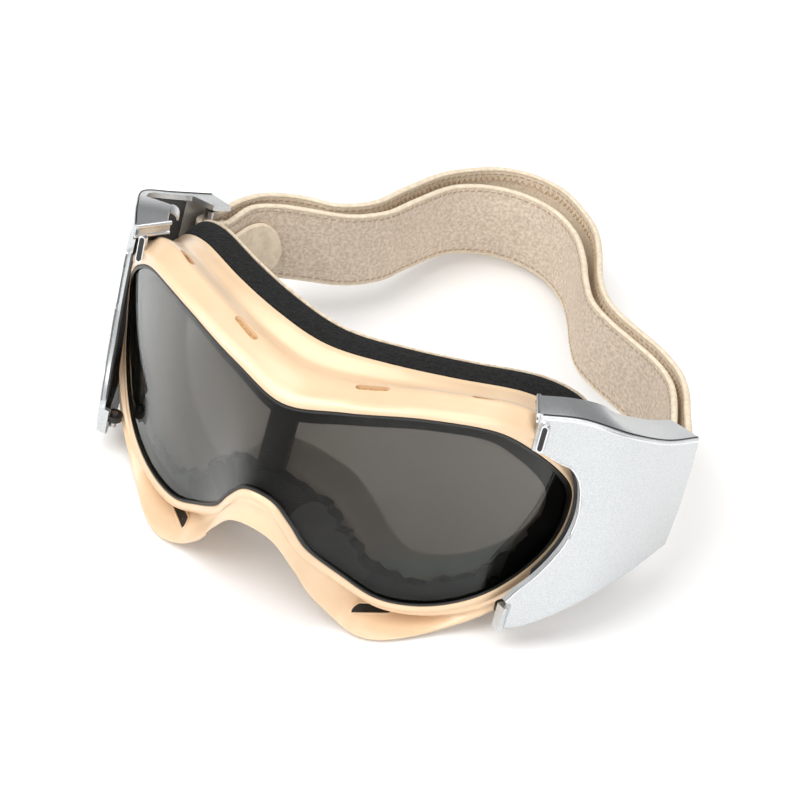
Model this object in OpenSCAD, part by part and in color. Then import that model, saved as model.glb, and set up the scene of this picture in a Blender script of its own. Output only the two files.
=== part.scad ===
// Wrap-around protective goggles with pivoting side arms and a doubled head strap.
// The goggles are drawn upright on the face (front to -Y, wearer's up to +Z), then
// leaned back so that the lower lobes and the strap's lower edge stand on one level.

/* [Stance] */
// Angle by which the goggles lean back onto the strap
lean_back = 10; // [8:1:12]
// Swing of the left arm out from its stop
swing_left = 0; // [0:1:10]
// Swing of the right arm out from its stop
swing_right = 26; // [20:1:30]

/* [Lens] */
// Width of the lens opening
lens_w = 183; // [179:1:186]
// Height of the lens opening
lens_h = 91; // [88:1:94]
// Radius of the front surface, seen from above
wrap_r = 108; // [106:1:116]
// Thickness of the outer lens
lens_t = 2; // [1.6:0.1:2.2]
// Thickness of the inner lens
inner_t = 1.2; // [1:0.1:1.6]
// Air gap between the two lenses
air_gap = 4; // [3:0.5:5]
// Width of the spacer between the lenses
spacer_w = 3.6; // [3:0.2:5]
// Width of the dark band down the middle of the lens
band_w = 10; // [8:1:12]

/* [Frame] */
// Wall of the frame
wall = 2.4; // [2:0.1:2.8]
// Depth of the frame from its front to the face flange, at the middle
frame_depth = 26; // [24:1:30]
// Radius-like size of the face flange's curve, seen from above
face_r = 60; // [55:1:65]
// Width of the face flange
flange_w = 8; // [7:0.5:9]
// Depth of the groove along the brow
flute = 1.8; // [1:0.2:2.4]
// Depth of the scooped recess in each lower lobe
scoop = 8; // [6:0.5:9]
// Width of the vent slots
slot_w = 3; // [2.4:0.2:3.4]
// Length of the inner brow slots
slot_in_l = 11; // [9:1:13]
// Length of the outer brow slots
slot_out_l = 8.5; // [7:0.5:10]

/* [Face pad] */
// Thickness of the face foam
foam_t = 14; // [10:1:16]
// Width of the face foam
foam_w = 8.6; // [8:0.2:10]
// Thickness of the fleece on the foam
fleece_t = 2.6; // [2:0.2:3.4]

/* [Side arms] */
// Wall of the arm shell
arm_wall = 2.2; // [1.8:0.1:2.4]
// Radius of the hinge pins
pin_r = 1.25; // [1:0.05:1.5]
// Radius of the bar that carries the strap
bar_r = 1.9; // [1.5:0.1:2.2]

/* [Strap] */
// Width of the strap
strap_w = 36; // [32:1:38]
// Thickness of one strap layer
strap_t = 2.2; // [1.8:0.1:2.4]

/* [Hidden] */
$fn = 32;

// Small gap that keeps neighbouring pieces apart
clear = 0.2;
// Stations round the frame's rings
rings = 72;

// Half outlines, from the middle of the brow round the wearer's left to the nose, as
// shares of half the lens width and of the lens height
lens_half = [[0, .38], [.24, .44], [.5, .505], [.735, .49], [.88, .37], [.98, .2], [1, .04],
             [.975, -.14], [.9, -.295], [.79, -.41], [.635, -.475], [.465, -.475], [.325, -.385],
             [.205, -.265], [.135, -.14], [.07, -.05], [0, -.025]];
body_half = [[0, .46], [.24, .495], [.5, .55], [.755, .54], [.92, .405], [.995, .225], [1.015, .045],
             [1.0, -.16], [.955, -.335], [.85, -.475], [.68, -.588], [.5, -.634], [.37, -.613],
             [.27, -.5], [.185, -.345], [.095, -.215], [0, -.175]];
face_half = [[0, .49], [.24, .5], [.48, .49], [.71, .46], [.87, .36], [.94, .2], [.955, .03],
             [.94, -.15], [.885, -.3], [.795, -.43], [.66, -.52], [.52, -.555], [.4, -.54],
             [.3, -.46], [.2, -.31], [.1, -.17], [0, -.12]];

// Distance back to the face side of the fleece, where the wearer's face meets it
seal_y = frame_depth + foam_t + fleece_t;
// How the front leans with height, at the nose and towards the sides
nose_lean = -0.115;
side_lean = 0.155;
nose_reach = 19;
// Height of the brow line, from which the lean is measured
brow_z = 42;

function sized(h) = [for (p = h) [p[0] * lens_w / 2, p[1] * lens_h]];
function whole(h) = concat(h, [for (i = [len(h) - 2:-1:1]) [-h[i][0], h[i][1]]]);
lens_loop = whole(sized(lens_half));
body_loop = whole(sized(body_half));
face_loop = whole(sized(face_half));
last = len(lens_loop);

// Point and outward normal of a smooth closed outline at place t
function pick(q, i) = q[(i + len(q)) % len(q)];
function smooth(p0, p1, p2, p3, u) =
    0.5 * (2 * p1 + (p2 - p0) * u + (2 * p0 - 5 * p1 + 4 * p2 - p3) * u * u
    + (3 * p1 - p0 - 3 * p2 + p3) * u * u * u);
function at(q, t) = let (i = floor(t))
    smooth(pick(q, i - 1), pick(q, i), pick(q, i + 1), pick(q, i + 2), t - i);
function unit(v) = v / norm(v);
function normal(q, t) = let (d = unit(at(q, t + 0.2) - at(q, t - 0.2 + len(q)))) [-d[1], d[0]];
function mix(a, b, u) = a + (b - a) * u;
function step(a, b, v) = let (u = min(1, max(0, (v - a) / (b - a)))) u * u * (3 - 2 * u);
function bump(v, c, w) = exp(-pow((v - c) / w, 2));

// Front surface of the lens, and the plane of the face flange
function front(x, z) = wrap_r - sqrt(wrap_r * wrap_r - x * x)
    + (brow_z - z) * mix(nose_lean, side_lean, 1 - bump(x, 0, nose_reach));
function flange(x, z) = frame_depth + sqrt(face_r * face_r + x * x) - face_r
    - 10 * bump(x, 0, 16) * bump(z, -12, 22);
function on_front(p, d) = [p[0], front(p[0], p[1]) + d, p[1]];
function on_flange(p, d) = [p[0], flange(p[0], p[1]) + d, p[1]];
function in_front(p, y) = [p[0], y, p[1]];

// A ring or a strip of sections, each a list of points
function ring_faces(n, m, closed) = concat(
    [for (i = [0:n - (closed ? 1 : 2)], j = [0:m - 1], k = [0, 1])
        let (a = i * m + j, b = i * m + (j + 1) % m,
             c = ((i + 1) % n) * m + j, d = ((i + 1) % n) * m + (j + 1) % m)
        k == 0 ? [a, c, b] : [b, c, d]],
    closed ? [] : [[for (j = [0:m - 1]) j], [for (j = [m - 1:-1:0]) (n - 1) * m + j]]);
module loft(s, closed = false, flip = false) {
    m = len(s[0]);
    f = ring_faces(len(s), m, closed);
    polyhedron([for (q = s, p = q) p],
        flip ? [for (t = f) [for (i = [len(t) - 1:-1:0]) t[i]]] : f);
}
module stand() rotate([-lean_back, 0, 0]) translate([0, -seal_y, 0]) children();
module other_side() mirror([1, 0, 0]) children();

// Frame

// Weight of the brow and of the lower lobe at an outline point
function brow(p) = step(0, 32, p[1]);
// How far the lower edge of a lobe stands out in front of its scoop
lobe_lip = 8;
function lobe(p) = p[1] < 0 ? bump(abs(p[0]), lens_w * .235, lens_w * .085) : 0;

// How far the lens groove is cut past the lens outline, and how far the lens reaches in
function groove(t) = min(2, .5 * norm(at(body_loop, t) - at(lens_loop, t)));
function hold(t) = groove(t) - .4;

function frame_section(t) =
    let (l = at(lens_loop, t), r = at(body_loop, t), b = at(face_loop, t),
         nl = normal(lens_loop, t), nr = normal(body_loop, t), nb = normal(face_loop, t),
         w = norm(r - l), o = (r - l) / w, c = unit(nl + o), y = front(l[0], l[1]),
         yb = flange(b[0], b[1]), top = brow(l), low = lobe(l), slot = lens_t + .3,
         e = min(4.4, .8 * w), f1 = mix(e, w, .35), f2 = mix(e, w, .85), in = max(w - wall, -2),
         d1 = mix(2, 3.5, top) + scoop * low, d2 = mix(2.4, 8, top) - lobe_lip * low,
         d3 = mix(6, 12, top) - lobe_lip * low,
         k1 = max(d1, slot + .6) + wall, k2 = max(d2 + .6, mix(slot + 1.1, d1 + .2, low)) + wall,
         g0 = in_front(r, y + d3), g1 = in_front(b, yb - wall), gn = [nb[0], 0, nb[1]])
    [on_front(l - nl * .2, -.3), on_front(l + nl * .1, -1.3),
     on_front(l + c * min(1.6, .35 * w), -1.9), on_front(l + c * min(3, .6 * w), -1.2),
     in_front(l + o * e, y + .6), in_front(l + o * f1, y + d1), in_front(l + o * f2, y + d2), g0,
     mix(g0, g1, .28) - gn * flute * top * .6, mix(g0, g1, .55) - gn * flute * top,
     mix(g0, g1, .85) - gn * flute * top * .3, g1, in_front(b, yb),
     on_flange(b - nb * flange_w, 0), on_flange(b - nb * flange_w, .2 - wall),
     on_flange(b - nb * wall * 1.1, -wall), in_front(r - nr * wall, y + max(d3 + 2, k2 + 1)),
     in_front(l + o * min(f2 - .6 * wall, in), y + k2), in_front(l + o * min(f1, in), y + k1),
     on_front(l + c * min(2.4, .5 * w, in), slot + wall),
     on_front(l - nl * 2.6, slot + 2.1), on_front(l - nl * 2.6, slot),
     on_front(l + nl * groove(t), slot), on_front(l + nl * groove(t), -.3)];

// A slot with round ends, from one place to the next, cut down through the brow
module slot_cut(a, b) hull() for (p = [a, b])
    translate([p[0], p[1], brow_z - 4]) cylinder(r = slot_w / 2, h = 30);
function brow_place(x, back) = [x, front(x, brow_z) + back];
slot_in_x = 25;
slot_out_x = 59.5;
lobe_x = lens_w * .222;
module vent_slots() {
    slot_cut(brow_place(slot_in_x - slot_in_l / 2 + slot_w / 2, 9.5),
             brow_place(slot_in_x + slot_in_l / 2 - slot_w / 2, 10.5));
    slot_cut(brow_place(slot_out_x - slot_out_l / 2 + slot_w / 2, 11.5),
             brow_place(slot_out_x + slot_out_l / 2 - slot_w / 2, 12.5));
}
// Vent hole through the floor of a lower lobe's scoop
module lobe_cut() hull() for (i = [-1, 1])
    translate([lobe_x + i * 4, front(lobe_x, -.5 * lens_h) + 3, -.53 * lens_h - i * .8])
        rotate([-90, 0, 0]) cylinder(r = slot_w * .55, h = 14);

module frame_shell() color([.96, .88, .76]) stand() difference() {
    loft([for (i = [0:rings - 1]) frame_section(i * last / rings)], closed = true, flip = true);
    vent_slots();
    other_side() vent_slots();
    lobe_cut();
    other_side() lobe_cut();
}

// Rings that follow the lens outline: inner and outer offset, front and back depth
module lens_ring(a0, a1, d0, d1) loft([for (i = [0:rings - 1])
    let (t = i * last / rings, p = at(lens_loop, t), n = normal(lens_loop, t))
    [on_front(p + n * a0, d0), on_front(p + n * a1, d0), on_front(p + n * a1, d1),
     on_front(p + n * a0, d1)]], closed = true, flip = true);
// Sheet that fills the lens outline, set in by a, or out to the hold of the groove. Its
// outer rings lie on those of the spacer, and the rest runs in to one point.
function sheet_ring(i, a, j) = let (t = i * last / rings, p = at(lens_loop, t),
    n = normal(lens_loop, t), q = p - n * (3 + spacer_w))
    j == 0 ? p + n * (a < 0 ? a : hold(t)) : j == 1 ? p - n * 3.3 : j == 2 ? q
    : mix([0, .21 * lens_h], q, 1 - (j - 2) * .24);
module lens_sheet(a, d0, d1) {
    k = a < 0 ? 1 : 0;
    rows = 6 - k;
    n = rings;
    pts = [for (d = [d0, d1]) each concat([on_front([0, .21 * lens_h], d)],
        [for (j = [rows - 1:-1:0], i = [0:n - 1])
            on_front(sheet_ring(i, a, j == 0 ? 0 : j + k), d)])];
    half = 1 + rows * n;
    function q(s, j, i) = s * half + 1 + j * n + (i % n);
    polyhedron(pts, concat(
        [for (i = [0:n - 1]) [0, q(0, 0, i), q(0, 0, i + 1)]],
        [for (i = [0:n - 1]) [half, q(1, 0, i + 1), q(1, 0, i)]],
        [for (j = [0:rows - 2], i = [0:n - 1], f = [0, 1])
            f == 0 ? [q(0, j, i), q(0, j + 1, i), q(0, j + 1, i + 1)]
                   : [q(0, j, i), q(0, j + 1, i + 1), q(0, j, i + 1)]],
        [for (j = [0:rows - 2], i = [0:n - 1], f = [0, 1])
            f == 0 ? [q(1, j, i), q(1, j + 1, i + 1), q(1, j + 1, i)]
                   : [q(1, j, i), q(1, j, i + 1), q(1, j + 1, i + 1)]],
        [for (i = [0:n - 1], f = [0, 1])
            f == 0 ? [q(0, rows - 1, i), q(1, rows - 1, i), q(1, rows - 1, i + 1)]
                   : [q(0, rows - 1, i), q(1, rows - 1, i + 1), q(0, rows - 1, i + 1)]]));
}
back_of_lens = lens_t + .3;
back_of_air = back_of_lens + air_gap;
module lens_seal() color([.05, .05, .05]) stand() lens_ring(-1.3, -.4, -1.1, -.3);
module outer_lens() color([.2, .2, .19, .8]) stand() lens_sheet(0, 0, lens_t);
module lens_spacer() color([.06, .06, .06]) stand()
    lens_ring(-3 - spacer_w, -3, back_of_lens, back_of_air - clear);
module inner_lens() color([.3, .3, .29, .6]) stand()
    lens_sheet(-3.2, back_of_air, back_of_air + inner_t);
module centre_band() color([.03, .03, .03]) stand() {
    top = lens_half[0][1] * lens_h - 3 - spacer_w - .3;
    foot = lens_half[len(lens_half) - 1][1] * lens_h + 3 + spacer_w + .3;
    loft([for (i = [0:8]) let (z = mix(top, foot, i / 8), h = band_w / 2)
        [for (p = [[-h, 0], [0, 0], [h, 0], [h, 1], [0, 1], [-h, 1]])
            on_front([p[0], z], p[1] == 0 ? back_of_lens + 1.4 : back_of_air - .5)]], flip = true);
}

// Vent foams behind the slots
module brow_vent_foam() color([.72, .55, .36]) stand() {
    n = 30;
    loft([for (i = [0:n]) let (t = mix(-2.9, 2.9, i / n) + last, l = at(lens_loop, t),
        r = at(body_loop, t), nr = normal(body_loop, t), y = front(l[0], l[1]) + 14)
        [for (q = [[-wall - 1.5, -5], [-wall - 1.5, 1], [-wall - 3.5, 1], [-wall - 3.5, -5]])
            in_front(r + nr * q[0], y + q[1])]], flip = true);
}
module lobe_vent_foam(side) {
    n = 8;
    loft([for (i = [0:n]) let (t = mix(10.5, 11.5, i / n), l = at(lens_loop, t),
        r = at(body_loop, t), w = norm(r - l), o = (r - l) / w, y = front(l[0], l[1]) + 2 + scoop
            + wall + 1.1)
        [for (q = [[.33, 0], [.47, 0], [.47, 1], [.33, 1]])
            in_front(l + o * w * q[0], y + q[1])]], flip = true);
}
module lobe_vent_foam_right() color([.08, .08, .08]) stand() lobe_vent_foam();
module lobe_vent_foam_left() color([.08, .08, .08]) stand() other_side() lobe_vent_foam();

// Face pad, a crowned foam ring with a thin fleece on its face side
module face_ring(q) loft([for (i = [0:rings - 1])
    let (t = i * last / rings, p = at(face_loop, t), n = normal(face_loop, t))
    [for (c = q) on_flange(p + n * c[0], c[1])]], closed = true, flip = true);
module face_foam() color([.07, .07, .07]) stand()
    face_ring([[-.9, .4], [.1, 3], [.2, foam_t * .7], [-1.2, foam_t], [-foam_w + .8, foam_t],
               [-foam_w, foam_t * .6], [-foam_w + .6, .3]]);
module face_fleece() color([.9, .84, .75]) stand()
    face_ring([[-1.1, foam_t + .3], [-.9, foam_t + fleece_t * .6], [-2.6, foam_t + fleece_t],
               [-foam_w + 1.6, foam_t + fleece_t], [-foam_w + .8, foam_t + .3]]);

// Side arms. Each is drawn at its stop, about its hinge, and swung out from there.

// Lugs that carry the hinge pins, and the hinge, which keeps them clear of the rim
lug_r = 3.1;
lug_t = 2.4;
hinge_x = .4481 * lens_w;
hinge_y = front(hinge_x - lug_r, -.42 * lens_h) - lug_r - 1.99;
// The arm's outer wall seen from above, from its front edge to its rear end
arm_plan = [[1.4, -9.6], [8.7, 3.9], [15.6, 21.2], [14.2, 43.3], [8.8, 65.5]];
// Top and bottom of the arm's wall at the same places
arm_top = [.565 * lens_h, .56 * lens_h, .495 * lens_h, .385 * lens_h, .29 * lens_h];
arm_foot = [-.49 * lens_h, -.46 * lens_h, -.345 * lens_h, -.285 * lens_h, -.26 * lens_h];
// Width of the top and bottom walls
arm_shelf = [12, 12.5, 15, 16, 13];
arm_last = len(arm_plan) - 1;
// Height of the arm's top and bottom at its hinge
hinge_at = .71;

function along(q, t) = let (i = min(len(q) - 2, max(0, floor(t))))
    smooth(i > 0 ? q[i - 1] : 2 * q[0] - q[1], q[i], q[i + 1],
           i < len(q) - 2 ? q[i + 2] : 2 * q[len(q) - 1] - q[len(q) - 2], t - i);
// Unit vector into the arm's hollow
function inward(t) = let (d = unit(along(arm_plan, t + .05) - along(arm_plan, t - .05)))
    [-d[1], d[0]];
function arm_point(t, n, z) = let (p = along(arm_plan, t) + inward(t) * n) [p[0], p[1], z];

pin_top = along(arm_top, hinge_at);
pin_foot = along(arm_foot, hinge_at);

module arm_place(side) stand()
    if (side > 0) translate([hinge_x, hinge_y, 0]) rotate([0, 0, -swing_right]) children();
    else other_side() translate([hinge_x, hinge_y, 0]) rotate([0, 0, -swing_left]) children();

// How far the outer wall swells past the plan, and the width of the bottom wall
swell = .8;
sill = [2.2, 6.6, 8.8, 8.8, 7.2];
// Line along the arm seen from above, from place t0 to t1, n inside the plan or, with a
// list of widths, that much further in
arm_steps = 12;
function arm_ts(t0, t1) = [for (i = [0:arm_steps]) mix(t0, t1, i / arm_steps)];
function edge(t0, t1, n, widths = []) = [for (t = arm_ts(t0, t1))
    let (p = arm_point(t, n + (len(widths) > 0 ? along(widths, t) : 0), 0)) [p[0], p[1]]];
function turned_back(q) = [for (i = [len(q) - 1:-1:0]) q[i]];
module from_above(p, q) translate([0, 0, -lens_h]) linear_extrude(2 * lens_h)
    polygon(concat(p, turned_back(q)));
module from_side(q) rotate([90, 0, 90]) translate([0, 0, -40]) linear_extrude(90) polygon(q);
function arm_side(t0, t1, a) = concat(
    [for (t = arm_ts(t0, t1)) [along(arm_plan, t)[1], along(arm_top, t) - a]],
    turned_back([for (t = arm_ts(t0, t1)) [along(arm_plan, t)[1], along(arm_foot, t) + a]]));
// C-shaped channel with walls of w, set in by a, from place t0 to t1
module channel(a, w, t0, t1) difference() {
    intersection() {
        from_above(edge(t0, t1, a - swell), edge(t0, t1, -a, arm_shelf));
        from_side(arm_side(t0, t1, a));
    }
    intersection() {
        from_above(edge(t0 - .3, t1 + .3, a + w - swell), edge(t0 - .3, t1 + .3, 24));
        from_side(arm_side(t0 - .3, t1 + .3, a + w));
    }
    intersection() {
        from_above(edge(t0 - .3, t1 + .3, -a, sill), edge(t0 - .3, t1 + .3, 24));
        translate([-40, -40, -.9 * lens_h]) cube([90, 130, .8 * lens_h]);
    }
}
// The opening that the front of the arm leaves round the side of the lens, as places back
// and heights
window_back = [[-3.5, .38], [1, .352], [4.5, .33], [8.4, .26], [10.6, .13], [9.8, 0],
               [6.7, -.11], [2.7, -.2], [-1.7, -.275], [-4.3, -.335]];
window_last = len(window_back) - 1;
// Where the arm's wall starts below the opening
window_foot = -2.4;
module arm_window(grow) from_side(concat([[-30, .508 * lens_h], [-5.9, .508 * lens_h],
        [-5.7, .44 * lens_h]],
    [for (i = [0:18]) let (p = along(window_back, window_last * i / 18))
        [p[0] + grow, p[1] * lens_h]],
    [[window_foot, -.345 * lens_h], [window_foot, -lens_h], [-30, -lens_h]]));
// The left arm's top wall is cut back behind its front part
module cut_back() intersection() {
    from_above(edge(1.3, 3.2, arm_wall + 1), edge(1.3, 3.2, 24));
    translate([-40, -40, 0]) cube([90, 130, lens_h]);
}
module arm_shell(side) color([.8, .81, .82]) arm_place(side) difference() {
    channel(0, arm_wall, 0, arm_last);
    arm_window(0);
    if (side < 0) cut_back();
    for (z = [pin_top - 10.8, pin_foot + .8]) translate([0, 0, z])
        cylinder(r = pin_r + .05, h = 10);
}
module arm_shell_right() arm_shell(1);
module arm_shell_left() arm_shell(-1);

module arm_lining(side) color([.07, .07, .07]) arm_place(side) difference() {
    channel(arm_wall + .3, .6, .85, 3.25);
    arm_window(-1.6);
    if (side < 0) cut_back();
    for (z = [pin_top - 12, pin_foot - 2]) translate([0, 0, z]) cylinder(r = lug_r + 1, h = 14);
}
module arm_lining_right() arm_lining(1);
module arm_lining_left() arm_lining(-1);

// Bar across the arm's rear end
bar_at = 3.65;
bar_in = 7.6;
bar_top = along(arm_top, bar_at) - arm_wall - 1.1;
bar_foot = along(arm_foot, bar_at) + arm_wall + .7;
bar_xy = arm_point(bar_at, bar_in, 0);
module strap_bar(side) color([.35, .35, .36]) arm_place(side)
    translate([bar_xy[0], bar_xy[1], bar_foot]) cylinder(r = bar_r, h = bar_top - bar_foot);
module strap_bar_right() strap_bar(1);
module strap_bar_left() strap_bar(-1);

// Fixed clips that carry the hinge pins at the top and bottom of each arm
// Height of the upper lug, level with the end of the brow
upper_lug_z = .47 * lens_h;
module clip_place(side) stand()
    if (side > 0) translate([hinge_x, hinge_y, 0]) children();
    else other_side() translate([hinge_x, hinge_y, 0]) children();
// A lug with a narrower tail that ends at x, y
module lug(x, y, tail_r) difference() {
    union() {
        cylinder(r = lug_r, h = lug_t);
        translate([x, y, 0]) cylinder(r = tail_r, h = lug_t);
        rotate([0, 0, atan2(y, x)]) translate([0, -tail_r, 0]) cube([norm([x, y]), 2 * tail_r, lug_t]);
    }
    translate([0, 0, -1]) cylinder(r = pin_r, h = lug_t + 2);
}
module upper_clip(side) color([.7, .71, .72]) clip_place(side)
    translate([0, 0, upper_lug_z]) lug(-1.1, .8, 2.1);
module upper_clip_right() upper_clip(1);
module upper_clip_left() upper_clip(-1);
module lower_clip(side) color([.7, .71, .72]) clip_place(side)
    translate([0, 0, pin_foot + arm_wall + 1.9]) lug(-.6, .7, 2.1);
module lower_clip_right() lower_clip(1);
module lower_clip_left() lower_clip(-1);
module hinge_pins(side) color([.5, .5, .5]) clip_place(side) {
    translate([0, 0, upper_lug_z - .5]) cylinder(r = pin_r, h = pin_top - upper_lug_z - .6);
    translate([0, 0, pin_foot + 1]) cylinder(r = pin_r, h = 6);
}
module hinge_pins_right() hinge_pins(1);
module hinge_pins_left() hinge_pins(-1);

// Strap. Each end turns round an arm's bar and leaves it at an angle to the arm.
leg = 5.5;
leg_turn = [14, 20];
loop_r = bar_r + .3 + strap_t / 2;
function turned(p, a) = [p[0] * cos(a) - p[1] * sin(a), p[0] * sin(a) + p[1] * cos(a)];
// Place of a point that is drawn beside the bar, x out and y back, on the left or right
function from_bar(side, x, y) =
    let (q = [bar_xy[0], bar_xy[1]] + turned([x, y], leg_turn[side]),
         w = [hinge_x, hinge_y] + turned(q, -(side == 1 ? swing_right : swing_left)))
    [side == 1 ? w[0] : -w[0], w[1]];
// The routes seen from above, from the left arm round the back to the right
inner_route = concat([from_bar(0, -loop_r, leg + .3), from_bar(0, -loop_r, leg + 4)],
              [[-79, 122], [-72, 132], [-62, 139], [-52, 145], [-45, 152],
               [-39, 163], [-36, 177], [-31, 197], [-24, 208], [-13, 215.5], [0, 217.5], [12, 214],
               [23, 205], [32, 192], [40, 177], [48, 165], [58, 157.5], [70, 151.5], [82, 145.5],
               [92, 137], [99, 125]],
              [from_bar(1, -loop_r, leg + 6), from_bar(1, -loop_r, leg + .3)]);
outer_route = concat([from_bar(0, loop_r, leg + .3), from_bar(0, loop_r, leg + 4)],
              [[-85, 122], [-81, 134], [-74, 142], [-66, 147], [-58, 150], [-51, 157],
               [-46, 167], [-43, 183], [-38, 204], [-31, 218], [-22, 229], [-11, 234.5], [3, 234],
               [16, 226], [27, 215], [35, 201], [43, 184], [51, 172], [60, 164.5], [72, 158.5],
               [83, 153], [94, 144], [101, 133], [106, 121]],
              [from_bar(1, loop_r, leg + 6), from_bar(1, loop_r, leg + .3)]);
// Height of the strap's middle at a distance back, and the lean that stands it up
function strap_mid(y) = 3 - .034 * max(0, y - 95);
function strap_up(y) = let (a = lean_back * step(95, 150, y)) [0, -sin(a), cos(a)];
function strap_side(q, t) = let (d = unit(along(q, t + .05) - along(q, t - .05))) [-d[1], d[0]];
module strap_band(q, n, t0, t1, w) loft([for (i = [0:n])
    let (t = mix(t0, t1, i / n), p = along(q, t), s = strap_side(q, t),
         c = [p[0], p[1], strap_mid(p[1])], v = strap_up(p[1]) * w / 2,
         h = [s[0], s[1], 0] * strap_t / 2)
    [c + h + v * .97, c + v, c - h + v * .97, c - h - v * .97, c - v, c + h - v * .97]]);
module strap_inner() color([.8, .72, .63]) stand()
    strap_band(inner_route, 84, 0, len(inner_route) - 1, strap_w);
module strap_outer() color([.84, .77, .66]) stand()
    strap_band(outer_route, 88, 0, len(outer_route) - 1, strap_w);
// Sewn end of the strap, folded back on the inner face by the left arm
tab_route = [for (p = [0:4]) along(inner_route, mix(.2, 3.2, p / 4))
    - strap_side(inner_route, mix(.2, 3.2, p / 4)) * (strap_t + .3)];
module strap_tab() color([.92, .86, .77]) stand() translate([0, 0, -strap_w * .08])
    strap_band(tab_route, 12, 0, 4, strap_w * .78);
// Loop of the strap round each arm's bar
module strap_end(side) color([.84, .77, .66]) arm_place(side)
    translate([bar_xy[0], bar_xy[1], strap_mid(95) - strap_w / 2])
    rotate([0, 0, leg_turn[side > 0 ? 1 : 0]]) difference() {
        union() {
            cylinder(r = bar_r + .3 + strap_t, h = strap_w);
            translate([-bar_r - .3 - strap_t, 0, 0])
                cube([2 * (bar_r + .3 + strap_t), leg, strap_w]);
        }
        translate([0, 0, -1]) cylinder(r = bar_r + .3, h = strap_w + 2);
        translate([-bar_r - .3, 0, -1]) cube([2 * (bar_r + .3), leg + 1, strap_w + 2]);
    }
module strap_end_right() strap_end(1);
module strap_end_left() strap_end(-1);

frame_shell();
lens_seal();
outer_lens();
lens_spacer();
centre_band();
inner_lens();
brow_vent_foam();
lobe_vent_foam_left();
lobe_vent_foam_right();
face_foam();
face_fleece();
upper_clip_left();
upper_clip_right();
lower_clip_left();
lower_clip_right();
hinge_pins_left();
hinge_pins_right();
arm_shell_left();
arm_shell_right();
arm_lining_left();
arm_lining_right();
strap_bar_left();
strap_bar_right();
strap_end_left();
strap_end_right();
strap_inner();
strap_outer();
strap_tab();
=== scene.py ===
from math import cos, exp, floor, pi, radians, sin, sqrt

import bmesh
import bpy
import numpy as np
from mathutils import Matrix, Vector
from mathutils.bvhtree import BVHTree

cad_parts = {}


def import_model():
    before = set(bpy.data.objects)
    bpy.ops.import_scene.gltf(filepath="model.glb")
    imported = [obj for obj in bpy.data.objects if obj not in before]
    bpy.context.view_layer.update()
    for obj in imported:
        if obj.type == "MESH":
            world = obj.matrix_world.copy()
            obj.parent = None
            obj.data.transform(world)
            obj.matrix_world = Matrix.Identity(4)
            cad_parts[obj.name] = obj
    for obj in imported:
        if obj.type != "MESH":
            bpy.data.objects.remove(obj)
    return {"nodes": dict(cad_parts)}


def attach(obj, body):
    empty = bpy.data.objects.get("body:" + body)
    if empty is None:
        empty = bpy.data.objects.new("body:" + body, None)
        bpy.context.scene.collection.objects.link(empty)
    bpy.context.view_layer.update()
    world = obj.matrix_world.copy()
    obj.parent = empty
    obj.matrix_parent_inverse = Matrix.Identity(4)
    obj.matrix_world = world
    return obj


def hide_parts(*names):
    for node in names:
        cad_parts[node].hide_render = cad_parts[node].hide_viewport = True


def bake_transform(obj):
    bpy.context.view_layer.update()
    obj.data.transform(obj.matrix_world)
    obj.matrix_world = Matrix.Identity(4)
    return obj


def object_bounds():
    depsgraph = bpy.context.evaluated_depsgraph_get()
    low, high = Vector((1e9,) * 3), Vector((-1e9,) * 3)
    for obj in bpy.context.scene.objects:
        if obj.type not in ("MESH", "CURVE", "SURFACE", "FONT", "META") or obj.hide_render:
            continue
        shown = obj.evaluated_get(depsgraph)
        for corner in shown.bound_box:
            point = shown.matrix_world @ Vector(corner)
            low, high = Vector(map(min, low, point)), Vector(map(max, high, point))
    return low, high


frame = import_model()
cad_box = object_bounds()
nodes = frame["nodes"]
scene = bpy.context.scene
UP = np.array([0, 0, 1.0])

# Sizes, in millimetres, as in the solids
LENS_W, LENS_H, WRAP_R = 183.0, 91.0, 108.0
LENS_T, INNER_T, AIR_GAP, SPACER_W, BAND_W = 2.0, 1.2, 4.0, 3.6, 10.0
WALL, FRAME_DEPTH, FACE_R, FLANGE_W = 2.4, 26.0, 60.0, 8.0
FLUTE, SCOOP, LOBE_LIP = 1.8, 8.0, 8.0
SLOT_W, SLOT_IN_L, SLOT_OUT_L = 3.0, 11.0, 8.5
FOAM_T, FOAM_W, FLEECE_T = 14.0, 8.6, 2.6
ARM_WALL, BAR_R = 2.2, 1.9
STRAP_W, STRAP_T = 36.0, 2.2
SWING = {"left": 0.0, "right": 26.0}
LEAN = radians(10)
SEAL_Y = FRAME_DEPTH + FOAM_T + FLEECE_T
HINGE = np.array([.4481 * LENS_W, 41.6])

# Right halves of the outlines, as shares of the lens's half width and of its height
LENS_HALF = [(0, .38), (.24, .44), (.5, .505), (.735, .49), (.88, .37), (.98, .2), (1, .04),
             (.975, -.14), (.9, -.295), (.79, -.41), (.635, -.475), (.465, -.475), (.325, -.385),
             (.205, -.265), (.135, -.14), (.07, -.05), (0, -.025)]
BODY_HALF = [(0, .46), (.24, .495), (.5, .55), (.755, .54), (.92, .405), (.995, .225), (1.015, .045),
             (1.0, -.16), (.955, -.335), (.85, -.475), (.68, -.588), (.5, -.634), (.37, -.613),
             (.27, -.5), (.185, -.345), (.095, -.215), (0, -.175)]
FACE_HALF = [(0, .49), (.24, .5), (.48, .49), (.71, .46), (.87, .36), (.94, .2), (.955, .03),
             (.94, -.15), (.885, -.3), (.795, -.43), (.66, -.52), (.52, -.555), (.4, -.54),
             (.3, -.46), (.2, -.31), (.1, -.17), (0, -.12)]

# Lean of the lens at the nose and at the sides, how far the nose's part reaches, and the height at
# which both parts meet
NOSE_LEAN, SIDE_LEAN, NOSE_REACH, BROW_Z = -.115, .155, 19.0, 42.0
WRAP_END = WRAP_R - 5
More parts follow.
